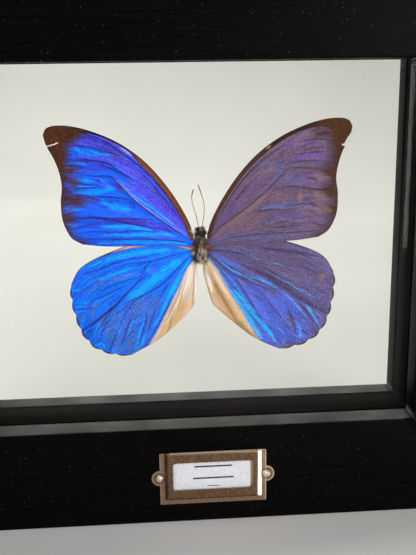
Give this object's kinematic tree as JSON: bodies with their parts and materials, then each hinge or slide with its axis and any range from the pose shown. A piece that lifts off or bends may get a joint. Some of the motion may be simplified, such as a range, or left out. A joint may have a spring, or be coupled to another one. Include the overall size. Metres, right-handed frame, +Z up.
{
  "type": "framed butterfly specimen",
  "caption": "Deep black box frame that holds a spread blue butterfly between front and back panes of glass, with a metal label holder screwed to its bottom rail.",
  "frame": {"origin": "middle of the frame's base, halfway between its front and back faces", "axes": "+X to the right as seen from the front, +Y from the front face to the back, +Z up"},
  "size_m": [0.276, 0.0432, 0.242],
  "materials": {
    "frame_paint": "satin black paint on wood",
    "pane_glass": "clear float glass",
    "black_liner": "matt black liner board",
    "body_hair": "dark fur with grey-buff hairs",
    "forewing_scales": "iridescent blue scales on brown",
    "hindwing_scales": "iridescent blue scales with a cream fold",
    "antenna_brown": "dry brown horn",
    "clear_glue": "set clear glue",
    "aged_brass": "antique bronze-brown brass",
    "label_card": "uncoated white card",
    "nickel_screw": "nickel plate"
  },
  "bodies": {
    "root": {"rail_top": "frame_paint", "rail_bottom": "frame_paint", "stile_left": "frame_paint", "stile_right": "frame_paint", "glass_front": "pane_glass", "glass_back": "pane_glass", "spacer_top": "black_liner", "spacer_bottom": "black_liner", "spacer_left": "black_liner", "spacer_right": "black_liner", "back_stop_top": "frame_paint", "back_stop_bottom": "frame_paint", "back_stop_left": "frame_paint", "back_stop_right": "frame_paint", "body": "body_hair", "forewing_left": "forewing_scales", "forewing_right": "forewing_scales", "hindwing_left": "hindwing_scales", "hindwing_right": "hindwing_scales", "antenna_left": "antenna_brown", "antenna_right": "antenna_brown", "glue_dab": "clear_glue", "label_holder": "aged_brass", "label_card": "label_card", "label_screw_left": "nickel_screw", "label_screw_right": "nickel_screw"}
  },
  "joints": []
}
